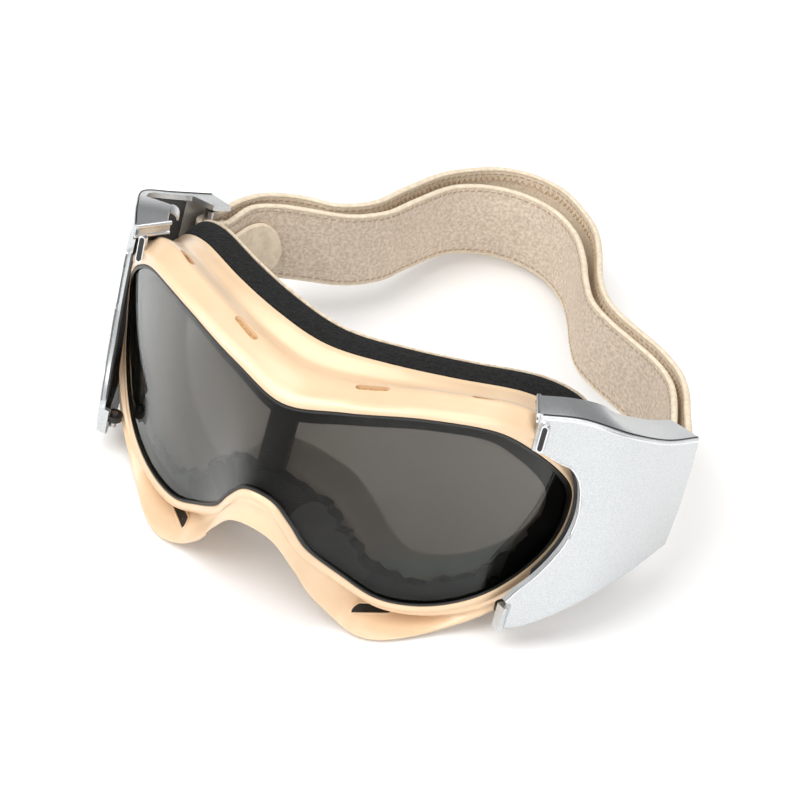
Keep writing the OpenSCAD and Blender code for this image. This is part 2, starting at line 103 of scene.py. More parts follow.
# Room for the nose in the face side: depth, height, half width and half height
NOSE_DEPTH, NOSE_Z, NOSE_HALF_W, NOSE_HALF_H = 10, -12, 16, 22


def whole(half):
    """Closed outline in millimetres, from its right half."""
    pts = [np.array([x * LENS_W / 2, z * LENS_H]) for x, z in half]
    return pts + [p * (-1, 1) for p in pts[-2:0:-1]]


LENS, BODY, FACE = whole(LENS_HALF), whole(BODY_HALF), whole(FACE_HALF)
LAST = len(LENS)


def smooth(p0, p1, p2, p3, u):
    """Place between p1 and p2 on a curve through all four points."""
    return .5 * (2 * p1 + (p2 - p0) * u + (2 * p0 - 5 * p1 + 4 * p2 - p3) * u * u
                 + (3 * p1 - p0 - 3 * p2 + p3) * u ** 3)


def at(loop, t):
    """Place on a closed outline, where t counts its points."""
    i = floor(t)
    return smooth(*(loop[(i + k) % len(loop)] for k in (-1, 0, 1, 2)), t - i)


def along(path, t):
    """Place on an open path, where t counts its points."""
    i = min(len(path) - 2, max(0, floor(t)))
    before = path[i - 1] if i else 2 * path[0] - path[1]
    after = path[i + 2] if i < len(path) - 2 else 2 * path[-1] - path[-2]
    return smooth(before, path[i], path[i + 1], after, t - i)


def unit(v):
    return v / np.linalg.norm(v)


def normal(loop, t):
    """Outward direction of a closed outline."""
    d = unit(at(loop, t + .2) - at(loop, t - .2))
    return np.array([-d[1], d[0]])


def heading(path, t):
    """Direction of an open path."""
    return unit(along(path, t + .05) - along(path, t - .05))


def mix(a, b, u):
    """Share u of the way from a to b."""
    return a + (b - a) * u


def step(a, b, v):
    """Soft step from 0 at a to 1 at b."""
    u = min(1, max(0, (v - a) / (b - a)))
    return u * u * (3 - 2 * u)


def bump(v, c, w):
    """Soft bump of height 1 round c."""
    return exp(-((v - c) / w) ** 2)


def turns(n):
    """Angles spread evenly round a circle."""
    return [k * 2 * pi / n for k in range(n)]


def front(x, z):
    """Distance back to the outer face of the lens."""
    x = min(abs(x), WRAP_END)
    return (WRAP_R - sqrt(WRAP_R ** 2 - x * x)
            + (BROW_Z - z) * mix(NOSE_LEAN, SIDE_LEAN, 1 - bump(x, 0, NOSE_REACH)))


def flange(x, z):
    """Distance back to the frame's face side."""
    nose = NOSE_DEPTH * bump(x, 0, NOSE_HALF_W) * bump(z, NOSE_Z, NOSE_HALF_H)
    return FRAME_DEPTH + sqrt(FACE_R ** 2 + x * x) - FACE_R - nose


def on_front(p, d):
    return np.array([p[0], front(p[0], p[1]) + d, p[1]])


def on_flange(p, d):
    return np.array([p[0], flange(p[0], p[1]) + d, p[1]])


def deep(p, y):
    return np.array([p[0], y, p[1]])


def world(p):
    """Face frame in millimetres to the model's frame in metres."""
    x, y, z = p[0], p[1] - SEAL_Y, p[2]
    return Vector((x, y * cos(LEAN) + z * sin(LEAN), -y * sin(LEAN) + z * cos(LEAN))) / 1000


# Meshes

SHARP = 40


def link(name, data):
    """New object in the scene."""
    obj = bpy.data.objects.new(name, data)
    scene.collection.objects.link(obj)
    return obj


def shade(me, sharp=SHARP):
    """Smooth shading, crisp at edges that turn by more than an angle in degrees."""
    me.polygons.foreach_set("use_smooth", [True] * len(me.polygons))
    me.set_sharp_from_angle(angle=radians(sharp))


def finish_mesh(name, bm, sharp=SHARP):
    bmesh.ops.recalc_face_normals(bm, faces=bm.faces)
    me = bpy.data.meshes.new(name)
    bm.to_mesh(me)
    bm.free()
    shade(me, sharp)
    return link(name, me)


def mesh(name, verts, faces, sharp=SHARP, convert=world):
    """Object from points and faces; a face that is there already is left out."""
    bm = bmesh.new()
    vs = [bm.verts.new(convert(v)) for v in verts]
    for f in faces:
        try:
            bm.faces.new([vs[i] for i in f])
        except ValueError:
            pass
    return finish_mesh(name, bm, sharp)


def grid_faces(n, m, closed, start=0, ring=True):
    """Faces between n rows of m points."""
    out = []
    for i in range(n if closed else n - 1):
        for j in range(m if ring else m - 1):
            a, b = i * m + j, i * m + (j + 1) % m
            c, d = ((i + 1) % n) * m + j, ((i + 1) % n) * m + (j + 1) % m
            out.append([start + k for k in (a, b, d, c)])
    return out


def loft(name, sections, closed=False, sharp=SHARP, convert=world):
    """Skin over closed sections, with an end face at either end unless it is closed."""
    n, m = len(sections), len(sections[0])
    faces = grid_faces(n, m, closed)
    if not closed:
        faces += [list(range(m)), [(n - 1) * m + j for j in range(m)]]
    return mesh(name, [p for s in sections for p in s], faces, sharp, convert)


def spline(points, sub, closed=False):
    """Smooth path through the points, with sub steps from each to the next."""
    if closed:
        return [at(points, i + k / sub) for i in range(len(points)) for k in range(sub)]
    return [along(points, i + k / sub) for i in range(len(points) - 1) for k in range(sub)] + [points[-1]]


def cut(obj, cutters):
    """Take the cutters out of an object and delete them."""
    for c in cutters:
        m = obj.modifiers.new("cut", "BOOLEAN")
        m.operation, m.object, m.solver = "DIFFERENCE", c, "EXACT"
    dg = bpy.context.evaluated_depsgraph_get()
    me = bpy.data.meshes.new_from_object(obj.evaluated_get(dg))
    obj.modifiers.clear()
    obj.data = me
    shade(me)
    for c in cutters:
        bpy.data.objects.remove(c)
    return obj


def prism(name, outline, low, high, direction, convert=world):
    """Outline of 3-D points swept from low to high along the direction."""
    v = [p + direction * low for p in outline] + [p + direction * high for p in outline]
    n = len(outline)
    faces = [list(range(n)), list(range(n, 2 * n))] + [
        [i, (i + 1) % n, n + (i + 1) % n, n + i] for i in range(n)]
    return mesh(name, v, faces, convert=convert)


def tube(name, path, r, sides=8, closed=False, convert=world):
    """Round tube along a path."""
    n = len(path)
    sec = []
    for i, p in enumerate(path):
        a = path[(i - 1) % n] if closed or i else p
        b = path[(i + 1) % n] if closed or i < n - 1 else p
        t = unit(b - a)
        ref = np.array([1.0, 0, 0]) if abs(t[2]) > .98 else UP
        s = unit(np.cross(t, ref))
        u = np.cross(s, t)
        sec.append([p + r * (cos(k) * s + sin(k) * u) for k in turns(sides)])
    return loft(name, sec, closed, convert=convert)


# Materials

def node(tree, kind, **values):
    """New shader node, with values for its inputs."""
    made = tree.nodes.new("ShaderNode" + kind)
    for key, value in values.items():
        made.inputs[key.replace("_", " ")].default_value = value
    return made


def wire(tree, *pairs):
    """Links, each from an output to an input."""
    for source, target in pairs:
        tree.links.new(source, target)


def maths(tree, kind, *values):
    """Math node whose inputs are numbers or other nodes' outputs."""
    made = tree.nodes.new("ShaderNodeMath")
    made.operation = kind
    for socket, value in zip(made.inputs, values):
        if isinstance(value, (int, float)):
            socket.default_value = value
        else:
            tree.links.new(value, socket)
    return made.outputs["Value"]


def material(name, color, alpha=1):
    m = bpy.data.materials.new(name)
    m.use_nodes = True
    m.diffuse_color = (*color, alpha)
    return m, m.node_tree


TONE_STOPS = (.35, .65)
GRAIN_DETAIL = 3


def mottled(name, low, high, scale, rough, bump_scale=None, bump_size=.0, detail=4, **more):
    """Principled surface whose colour drifts between two tones, with a fine grain."""
    middle = tuple((a + c) / 2 for a, c in zip(low, high))
    m, tree = material(name, middle)
    surface = tree.nodes["Principled BSDF"]
    for key, value in dict(more, Base_Color=(*middle, 1), Roughness=rough).items():
        surface.inputs[key.replace("_", " ")].default_value = value
    place = node(tree, "TexCoord").outputs["Object"]
    noise = node(tree, "TexNoise", Scale=scale, Detail=detail)
    ramp = node(tree, "ValToRGB")
    for stop, position, color in zip(ramp.color_ramp.elements, TONE_STOPS, (low, high)):
        stop.position = position
        stop.color = (*color, 1)
    wire(tree, (place, noise.inputs["Vector"]), (noise.outputs["Fac"], ramp.inputs["Fac"]),
         (ramp.outputs["Color"], surface.inputs["Base Color"]))
    if bump_scale:
        grain = node(tree, "TexNoise", Scale=bump_scale, Detail=GRAIN_DETAIL)
        relief = node(tree, "Bump", Distance=bump_size, Strength=1)
        wire(tree, (place, grain.inputs["Vector"]), (grain.outputs["Fac"], relief.inputs["Height"]),
             (relief.outputs["Normal"], surface.inputs["Normal"]))
    return m


CREAM = mottled("cream_plastic", (.75, .535, .34), (.785, .575, .375), 60, .34, 900, .00002,
                Coat_Weight=.45, Coat_Roughness=.16)
BLACK = mottled("black_rubber", (.008, .008, .008), (.013, .013, .012), 120, .45, 2500, .000006)
SILVER = mottled("silver_paint", (.53, .55, .56), (.67, .685, .69), 2300, .33, 4200, .00002, 3,
                 Metallic=.85)
DARK_METAL = mottled("dark_metal", (.02, .02, .02), (.04, .04, .04), 1500, .4, Metallic=.6)
# Lighter, glossier copy of the silver paint, also used on the corner plates; along the lip, the window rim
# and the crease it is a painted highlight.
SILVER_AND_HIGHLIGHT = mottled("silver_and_highlight", (.72, .73, .74), (.80, .81, .82), 2000, .18, Metallic=.9)
RIBBED = mottled("ribbed_rubber", (.045, .045, .045), (.065, .065, .065), 900, .5)
BROWN = mottled("brown_edge", (.09, .06, .035), (.13, .09, .055), 900, .5)
STEEL = mottled("pin_steel", (.40, .40, .40), (.55, .55, .55), 1500, .3, Metallic=1.0)
FOAM = mottled("black_foam", (.0005, .0005, .0005), (.010, .0095, .009), 750, 1.0, 800, .0014)
FLEECE = mottled("beige_fleece", (.62, .50, .36), (.80, .68, .52), 500, .95, 1500, .0004)
VENT = mottled("tan_vent_foam", (.42, .24, .10), (.58, .36, .17), 700, .9, 1500, .0005)
VELOUR = mottled("strap_velour", (.55, .45, .35), (.77, .66, .545), 800, .95, 2200, .0003, 6)
WEBBING = mottled("strap_webbing", (.68, .56, .42), (.82, .71, .56), 900, .8, 1600, .00025)
BINDING = mottled("strap_binding", (.66, .55, .41), (.76, .66, .51), 500, .8, 1600, .0002)
THREAD = mottled("thread", (.36, .26, .17), (.48, .36, .25), 900, .8)
CHAIN = mottled("chain_thread", (.52, .38, .24), (.70, .55, .38), 900, .8)
TAB = mottled("strap_tab_cloth", (.70, .58, .43), (.82, .71, .56), 300, .85, 1500, .0002)

# Arc of a painted reflection of the horizon, across which the glass changes colour, in metres:
# distance of its top from the middle, bend, and the heights between which it fades
HORIZON_ARC_X, HORIZON_ARC_BEND, HORIZON_ARC_LOW, HORIZON_ARC_HIGH = .045, -9, -.021, -.0185
SHINE_COLOR, HAZE_COLOR = (.95, .97, .96, 1), (.66, .64, .615, 1)
# Coat of the glass: how steeply it grows towards the edges of what is seen, and its least share
COAT_POWER, COAT_LEAST = 3, .008


def glass(name, upper, lower, rough, gloss, haze):
    """Glass whose colour changes along an arc below the middle, a painted reflection of the horizon, with
    some haze and a mirror-like coat.
    """
    m, tree = material(name, upper, .6)
    tree.nodes.clear()
    parts = node(tree, "SeparateXYZ")
    side = maths(tree, "SUBTRACT", maths(tree, "ABSOLUTE", parts.outputs["X"]), HORIZON_ARC_X)
    height = maths(tree, "MULTIPLY_ADD", maths(tree, "POWER", side, 2), HORIZON_ARC_BEND, parts.outputs["Z"])
    fade = node(tree, "MapRange", From_Min=HORIZON_ARC_LOW, From_Max=HORIZON_ARC_HIGH)
    fade.interpolation_type = "SMOOTHSTEP"
    # Mix of the upper and lower colours across the arc: a painted reflection of the horizon.
    tint_and_reflection = node(tree, "Mix")
    tint_and_reflection.data_type = "RGBA"
    tint_and_reflection.inputs["A"].default_value = (*lower, 1)
    tint_and_reflection.inputs["B"].default_value = (*upper, 1)
    clear, cloud = node(tree, "BsdfTransparent"), node(tree, "BsdfDiffuse", Color=HAZE_COLOR)
    misty = node(tree, "MixShader", Fac=haze)
    shine = node(tree, "BsdfGlossy", Color=SHINE_COLOR, Roughness=rough)
    facing = node(tree, "LayerWeight", Blend=.5).outputs["Facing"]
    coat = maths(tree, "MULTIPLY_ADD", maths(tree, "POWER", facing, COAT_POWER), gloss, COAT_LEAST)
    mixer, out = node(tree, "MixShader"), node(tree, "OutputMaterial")
    wire(tree, (node(tree, "TexCoord").outputs["Object"], parts.inputs["Vector"]),
         (height, fade.inputs["Value"]), (fade.outputs["Result"], tint_and_reflection.inputs["Factor"]),
         (tint_and_reflection.outputs["Result"], clear.inputs["Color"]), (clear.outputs["BSDF"], misty.inputs[1]),
         (cloud.outputs["BSDF"], misty.inputs[2]), (coat, mixer.inputs["Fac"]),
         (misty.outputs["Shader"], mixer.inputs[1]), (shine.outputs["BSDF"], mixer.inputs[2]),
         (mixer.outputs["Shader"], out.inputs["Surface"]))
    return m


# The outer lens's upper and lower colours differ by a painted reflection of the horizon.
LENS_MAT = glass("tinted_lens", (.56, .545, .525), (.54, .56, .545), .02, .6, 0)
INNER_MAT = glass("inner_lens_glass", (.97, .97, .97), (.97, .97, .97), .05, .15, .45)


def dress(obj, mat, slot, body, *covers):
    """Give an object its material and body, and hide the solids it stands for; the slot is not used."""
    obj.data.materials.clear()
    obj.data.materials.append(mat)
    if body:
        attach(obj, body)
    if covers:
        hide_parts(*covers)
    return obj


# Frame

# Depths behind the lens's face at the sides and at the brow: foot of the scoop, outer edge, side
SCOOP_D, EDGE_D, SIDE_D = (2, 3.5), (2.4, 8), (6, 12)
LEDGE_W, LEDGE_D = 4.4, .6
# How far the roll over the nose brings the ledge and those three forward, and its half width
NOSE_ROLL, NOSE_ROLL_W = (2.4, 3.2, 5, 7.5), 14
LOBE_X, LOBE_HALF = .235 * LENS_W, .085 * LENS_W
BROW_RISE = 32
LENS_GAP = .3
BACK = LENS_T + LENS_GAP
LIP_IN = 2.6
OUTSIDE, OUTSIDE_STEPS = 12, 4
RING_N = 288


def brow(p):
    """Share of the brow's shape: 0 at the middle of the sides and below, 1 at the top."""
    return step(0, BROW_RISE, p[1])


def lobe(p):
    """Share of the scooped lower lobes."""
    return bump(abs(p[0]), LOBE_X, LOBE_HALF) if p[1] < 0 else 0


def groove(t):
    """How far the lens reaches into its groove."""
    return min(2, .5 * np.linalg.norm(at(BODY, t) - at(LENS, t)))


def frame_points(t):
    """Closed section of the frame: front lip, scoop, side, flange, and back along the inside."""
    l, r, b = at(LENS, t), at(BODY, t), at(FACE, t)
    nl, nr, nb = normal(LENS, t), normal(BODY, t), normal(FACE, t)
    w = np.linalg.norm(r - l)
    o = (r - l) / w
    c = unit(nl + o)
    y, yb = front(*l), flange(*b)
    top, low = brow(l), lobe(l)
    nose = [k * bump(l[0], 0, NOSE_ROLL_W) if l[1] < 0 else 0 for k in NOSE_ROLL]
    e = min(LEDGE_W, .8 * w)
    f1, f2, inn = mix(e, w, .35), mix(e, w, .85), max(w - WALL, -2)
    d1 = mix(*SCOOP_D, top) + SCOOP * low - nose[1]
    d2 = mix(*EDGE_D, top) - LOBE_LIP * low - nose[2]
    d3 = mix(*SIDE_D, top) - LOBE_LIP * low - nose[3]
    k1 = max(d1, BACK + .6) + WALL
    k2 = max(d2 + .6, mix(BACK + 1.1, d1 + .2, low)) + WALL
    g0, g1, gn = deep(r, y + d3), deep(b, yb - WALL), np.array([nb[0], 0, nb[1]])
    lip = [on_front(l - nl * .2, -.3), on_front(l + nl * .1, -1.3),
           on_front(l + c * min(1.6, .35 * w), -1.9), on_front(l + c * min(3, .6 * w), -1.2)]
    scoop = [deep(l + o * e, y + LEDGE_D - nose[0]), deep(l + o * f1, y + d1), deep(l + o * f2, y + d2)]
    side = [g0] + [mix(g0, g1, u) - gn * FLUTE * top * k for u, k in ((.28, .6), (.55, 1), (.85, .3))]
    face = [g1, deep(b, yb), on_flange(b - nb * FLANGE_W, 0), on_flange(b - nb * FLANGE_W, .2 - WALL),
            on_flange(b - nb * WALL * 1.1, -WALL)]
    inside = [deep(r - nr * WALL, y + max(d3 + 2, k2 + 1)),
              deep(l + o * min(f2 - .6 * WALL, inn), y + k2), deep(l + o * min(f1, inn), y + k1),
              on_front(l + c * min(2.4, .5 * w, inn), BACK + WALL),
              on_front(l - nl * LIP_IN, BACK + 2.1), on_front(l - nl * LIP_IN, BACK),
              on_front(l + nl * groove(t), BACK), on_front(l + nl * groove(t), -.3)]
    return lip + scoop + side + face + inside


sections = []
for i in range(RING_N):
    q = frame_points(i * LAST / RING_N)
    sections.append(spline(q[:OUTSIDE], OUTSIDE_STEPS) + q[OUTSIDE:])
shell = loft("frame_body", sections, closed=True, sharp=50)


def pill(name, a, b, r, low, high):
    """Upright prism with rounded ends at a and b."""
    ahead = unit(b - a)
    side = unit(np.cross(UP, ahead))
    out = []
    for p, s in ((b, r), (a, -r)):
        out += [p + s * cos(k) * ahead + s * sin(k) * side for k in np.linspace(-pi / 2, pi / 2, 13)]
    return prism(name, out, low, high, UP)


# Brow slots: place out from the middle, length, and depths of the two ends
BROW_SLOTS = ((25, SLOT_IN_L, 9.5, 10.5), (59.5, SLOT_OUT_L, 11.5, 12.5))
SLOT_DOWN, SLOT_UP = -4, 26
cutters, slot_ends = [], []
for sx in (1, -1):
    for x, length, d0, d1 in BROW_SLOTS:
        h = length / 2 - SLOT_W / 2
        a, b = [np.array([sx * (x + k * h), front(x + k * h, BROW_Z) + d, BROW_Z])
                for k, d in ((-1, d0), (1, d1))]
        cutters.append(pill("slot", a, b, SLOT_W / 2, SLOT_DOWN, SLOT_UP))
        slot_ends.append((a, b))
form = bmesh.new()
form.from_mesh(shell.data)
shell_tree = BVHTree.FromBMesh(form)
form.free()
shell = cut(shell, cutters)
dress(shell, CREAM, "frame", "frame", "frame_shell")


def meet(start, goal, lift):
    """Point in metres where a line from start to goal meets the uncut frame."""
    start, goal = world(start), world(goal)
    way = (goal - start).normalized()
    return shell_tree.ray_cast(start, way)[0] - way * lift


# Lift of the dark fill of a vent, and drop of the foam in a slot, in metres
FILL_LIFT, LINING_DROP = .00012, .0013
AHEAD_Y, ABOVE_Z = -60, 90


def slot_lining(name, a, b):
    """Tan foam seen just inside a brow slot."""
    side = unit(np.array([a[1] - b[1], b[0] - a[0], 0]))
    verts = []
    for k in np.linspace(-.5, 1.5, 13):
        for v in np.linspace(-1.9, 1.9, 5):
            p = mix(a, b, k) + side * v
            verts.append(meet((p[0], p[1], ABOVE_Z), (p[0], p[1], 0), -LINING_DROP))
    dress(mesh(name, verts, grid_faces(13, 5, False, ring=False), convert=Vector), VENT,
          "vent_foam", "frame")


# Lower vents: place, half length of the straight part, radius, slant, and radius of the rim in metres
VENT_X, VENT_Z, VENT_HALF, VENT_R, VENT_SLANT = .222 * LENS_W, -.562 * LENS_H, 4.6, 1.2, .11
VENT_N, VENT_RIM = 32, .00042


def lobe_vent(side, sx):
    """Dark vent hole under the ledge of a lower lobe, with its raised rim."""
    rings = []
    for k in (1, .7, .4, .1):
        ring = []
        for a in turns(VENT_N):
            x = VENT_HALF * (1 if cos(a) > 0 else -1) + VENT_R * cos(a)
            z = VENT_R * sin(a) - VENT_SLANT * sx * x
            x, z = sx * VENT_X + k * x, VENT_Z + k * z
            ring.append(meet((x, AHEAD_Y, z), (x, 0, z), FILL_LIFT))
        rings.append(ring)
    verts = [v for ring in rings for v in ring]
    faces = grid_faces(4, VENT_N, False) + [[3 * VENT_N + i for i in range(VENT_N)]]
    dress(mesh("lobe_vent_" + side, verts, faces, convert=Vector), BLACK, "gasket", "frame")
    path = [np.array(v) for v in rings[0]]
    dress(tube("lobe_rim_" + side, path, VENT_RIM, 8, True, convert=Vector), CREAM, "frame", "frame")


# Lines on the lobes: radius, start and end on the outline, first point of the section, share of the
# way to the next one, and how far back the line lies
LOBE_LINES = {"lobe_edge_": (.85, 8.9, 13.4, 6, .35, -.1), "lobe_ledge_": (.6, 9.4, 12.9, 4, .12, .2)}
LINE_DIP = 2.4


def lobe_lines(side, sx):
    """Raised edge round a lower lobe, and the crisp ledge over its scoop."""
    for name, (r, t0, t1, i, share, back) in LOBE_LINES.items():
        path = []
        for u in np.linspace(0, 1, 48):
            t = mix(t0, t1, u)
            q = frame_points(t if sx > 0 else LAST - t)
            dip = LINE_DIP * (1 - sin(pi * u) ** .4) + back
            path.append(mix(q[i], q[i + 1], share) + np.array([0, dip, 0]))
        dress(tube(name + side, path, r, 10), CREAM, "frame", "frame")


for k, (a, b) in enumerate(slot_ends):
    slot_lining("slot_lining_%d" % k, a, b)
for side, sx in (("left", -1), ("right", 1)):
    lobe_vent(side, sx)
    lobe_lines(side, sx)


# Rings and sheets on the lens outline

AIR = BACK + AIR_GAP
INNER_IN = 3.2
SHEET_N, SHEET_RINGS, SHEET_MID = 216, 26, .21 * LENS_H


def lens_ring(name, a0, a1, d0, d1):
    """Ring along the lens's edge, with its reach outwards and its depths."""
    sec = []
    for i in range(RING_N):
        t = i * LAST / RING_N
        p, q = at(LENS, t), normal(LENS, t)
        sec.append([on_front(p + q * a, d) for a, d in ((a0, d0), (a1, d0), (a1, d1), (a0, d1))])
    return loft(name, sec, closed=True)


def lens_sheet(name, a, d0, d1):
    """Curved sheet over the lens outline, between two depths."""
    n, k = SHEET_N, SHEET_RINGS
    edge = []
    for i in range(n):
        t = i * LAST / n
        edge.append(at(LENS, t) + normal(LENS, t) * (a if a < 0 else groove(t) - .4))
    mid = np.array([0, SHEET_MID])
    verts, faces = [], []
    for d in (d0, d1):
        base = len(verts)
        verts.append(on_front(mid, d))
        for j in range(1, k + 1):
            verts += [on_front(mix(mid, p, j / k), d) for p in edge]
        faces += [[base, base + 1 + i, base + 1 + (i + 1) % n] for i in range(n)]
        faces += grid_faces(k, n, False, base + 1)
    half = 1 + k * n
    last = 1 + (k - 1) * n
    faces += [[last + i, last + (i + 1) % n, half + last + (i + 1) % n, half + last + i]
              for i in range(n)]
    return mesh(name, verts, faces)


dress(lens_ring("seal_bead", -1.3, -.4, -1.1, -.3), BLACK, "gasket", "frame", "lens_seal")
dress(lens_sheet("lens_outer", 0, 0, LENS_T), LENS_MAT, "lens_outer", "frame", "outer_lens")

GASKET_N, GASKET_IN = 720, 3


def gasket_width(x, z, t):
    """Waves along the gasket's inner edge, widest under the lens and by the nose."""
    low = step(.1 * LENS_H, -.2 * LENS_H, z)
    wave = .9 * sin(t * 4.1) + .7 * sin(t * 9.7 + 1) + .5 * step(.3, .5, sin(t * 21))
    nose = bump(abs(x), 15, 9) * low
    return SPACER_W + .4 + low * (2.2 + wave) + 2.6 * nose


def gasket_section(t):
    """Section of the gasket, whose front sheet hides the frame's inner lip."""
    p, q = at(LENS, t), normal(LENS, t)
    inner = -GASKET_IN - gasket_width(p[0], p[1], t)
    return [on_front(p + q * a, d) for a, d in (
        (groove(t) - .5, LENS_T + .05), (groove(t) - .5, LENS_T + .2), (.2 - GASKET_IN, LENS_T + .25),
        (-GASKET_IN, AIR - .2), (inner, AIR - .2), (inner, LENS_T + .05))]


gasket = [gasket_section(i * LAST / GASKET_N) for i in range(GASKET_N)]
dress(loft("spacer_gasket", gasket, closed=True), BLACK, "gasket", "frame", "lens_spacer")
dress(lens_sheet("lens_inner", -INNER_IN, AIR, AIR + INNER_T), INNER_MAT, "lens_inner", "frame",
      "inner_lens")

# Band behind the middle of the lens
BAND_TOP = LENS_HALF[0][1] * LENS_H - GASKET_IN - SPACER_W - .3
BAND_FOOT = LENS_HALF[-1][1] * LENS_H + GASKET_IN + SPACER_W + .3
BAND_FRONT, BAND_BACK, BAND_N = BACK + 1.4, AIR - .5, 24
band_heights = [mix(BAND_TOP, BAND_FOOT, i / BAND_N) for i in range(BAND_N + 1)]
half = BAND_W / 2
band_section = [(x, BAND_FRONT) for x in (-half, -half / 2, 0, half / 2, half)]
band_section += [(x, BAND_BACK) for x in (half, 0, -half)]
band = loft("middle_band", [[on_front((x, z), d) for x, d in band_section] for z in band_heights])
dress(band, BLACK, "gasket", "frame", "centre_band")
for sx in (-1, 1):
    line = [on_front((sx * (half + .1), z), BAND_FRONT + .1) for z in band_heights]
    dress(tube("band_edge", line, .2, 6), BROWN, "gasket", "frame")


# Face pad

def face_ring(name, pts):
    """Ring along the face outline, with a section of places outwards and depths."""
    outline = spline([np.array(c) for c in pts], 5, True)
    sec = []
    for i in range(RING_N):
        t = i * LAST / RING_N
        p, q = at(FACE, t), normal(FACE, t)
        sec.append([on_flange(p + q * a, d) for a, d in outline])
    return loft(name, sec, closed=True)


PAD_T = FOAM_T + FLEECE_T
pad = face_ring("foam_pad", [(-.9, .5), (-.1, 3), (0, FOAM_T * .7), (-1.2, FOAM_T - .1),
                             (-FOAM_W + .8, FOAM_T - .1), (-FOAM_W + .2, FOAM_T * .6),
                             (-FOAM_W + .6, .5)])
dress(pad, FOAM, "face_foam", "frame", "face_foam")
soft = face_ring("fleece_pad", [(-1.2, FOAM_T + .4), (-1, FOAM_T + FLEECE_T * .6),
                                (-2.6, PAD_T - .1), (-FOAM_W + 1.6, PAD_T - .1),
                                (-FOAM_W + .9, FOAM_T + .4)])
dress(soft, FLEECE, "fleece", "frame", "face_fleece")


# Side arms, in a frame of their own: out from the hinge, back from it, and up

ARM_PLAN = [np.array(p) for p in ([1.4, -9.6], [8.7, 3.9], [15.6, 21.2], [14.2, 43.3], [8.8, 65.5])]
ARM_TOP = [.565 * LENS_H, .56 * LENS_H, .495 * LENS_H, .385 * LENS_H, .29 * LENS_H]
ARM_FOOT = [-.49 * LENS_H, -.46 * LENS_H, -.345 * LENS_H, -.285 * LENS_H, -.26 * LENS_H]
ARM_SHELF = [12, 12.5, 15, 16, 13]
SILL = [2.2, 6.6, 8.8, 8.8, 7.2]
ARM_N, BOW, FOOT_R, TOP_R, WALL_ENDS = 65, .8, 1.8, .9, 3.0
AHEAD, BEHIND = -30, 30

# Opening round the side of the lens: places back, and heights as shares of the lens's height. The left
# wall swings out by 30 degrees, so its upper front end stops short of the frame; the right one runs on.
WINDOW_BACK = [np.array(p) for p in ((-3.5, .38), (1, .352), (4.5, .33), (8.4, .26), (10.6, .13),
                                     (9.8, 0), (6.7, -.11), (2.7, -.2), (-1.7, -.275), (-4.3, -.335))]
WINDOW_TOP = {"left": [(AHEAD, .508), (-4.2, .508), (-2.2, .43), (-1.6, .385)],
              "right": [(AHEAD, .41), (-11, .41)]}
WINDOW_FOOT = [(-2.4, -.345), (-2.4, -1), (AHEAD, -1)]
WINDOW_START = -1.6
# How much further back the opening lies in the wall and in the lining
WINDOW_GROW = {"left": (.3, -1.6), "right": (0, -.6)}
LINING_FROM, LINING_TO, LINING_T, LINING_GAP = .85, 3.25, .6, .3


def arm_point(t, n, z):
    """Place n millimetres inside the outer wall, at height z."""
    d = heading(ARM_PLAN, t)
    p = along(ARM_PLAN, t) + np.array([-d[1], d[0]]) * n
    return np.array([p[0], p[1], z])


def turned(p, a):
    return np.array([p[0] * cos(a) - p[1] * sin(a), p[0] * sin(a) + p[1] * cos(a)])


def from_arm(side):
    """Arm's own frame to the model's frame."""
    def convert(p):
        q = turned(p[:2], -radians(SWING[side])) + HINGE
        return world((q[0] if side == "right" else -q[0], q[1], p[2]))
    return convert


def arc(cx, cy, r, a0, a1, k=4):
    return [(cx + r * cos(radians(mix(a0, a1, i / k))), cy + r * sin(radians(mix(a0, a1, i / k))))
            for i in range(k + 1)]


def arm_section(t, a, w):
    """Rounded C section of thickness w: distances in from the outer wall, and heights."""
    zt, zb = along(ARM_TOP, t) - a, along(ARM_FOOT, t) + a
    s, c = max(along(ARM_SHELF, t) - a, a + w + 1), max(along(SILL, t) - a, a + w + .1)
    g, h = min(.8, c - a - w), zt - zb
    outer = [(a - BOW * sin(pi * u), zb + FOOT_R + (h - WALL_ENDS) * u) for u in np.linspace(.04, .96, 12)]
    inner = [(a + w - BOW * sin(pi * u), zb + w + 1 + (h - 2 * w - 2) * u) for u in np.linspace(1, 0, 12)]
    pts = ([(c, zb)] + arc(a + FOOT_R, zb + FOOT_R, FOOT_R, -90, -180) + outer
           + arc(a + TOP_R, zt - TOP_R, TOP_R, 180, 90)
           + [(mix(a + TOP_R, s, .5), zt + .1), (s - .3, zt), (s, zt - .3)]
           + [(s, zt - w), (a + w + .8, zt - w), (a + w, zt - w - .8)] + inner
           + [(a + w, zb + w + g), (a + w + g, zb + w), (c, zb + w)])
    return [arm_point(t, x, z) for x, z in pts]


def window_curve(grow):
    """Edge of the opening round the side of the lens, as places back and heights."""
    return [np.array([p[0] + grow, p[1] * LENS_H]) for p in spline(WINDOW_BACK, 5)]


def arm_window(side, grow, convert):
    """Cutter for the opening round the lens."""
    top, foot = [[(y, z * LENS_H) for y, z in part] for part in (WINDOW_TOP[side], WINDOW_FOOT)]
    curve = [tuple(p) for p in window_curve(grow) if side == "right" or p[0] > WINDOW_START or p[1] < 0]
    out = [np.array([0, y, z]) for y, z in top + curve + foot]
    return prism("window", out, -40, 50, np.array([1.0, 0, 0]), convert)


def flat_cut(points, low, high, convert):
    """Prism that stands on an outline seen from above."""
    out = [np.array([p[0], p[1], 0]) for p in points]
    return prism("plan_cut", out, low, high, UP, convert)


# Ends of the top wall's slanting front edge
LIP_FRONT = np.array([.9, -9.9])
LIP_BACK = {"left": np.array([-6.8, 2.6]), "right": np.array([-9.2, -2.0])}
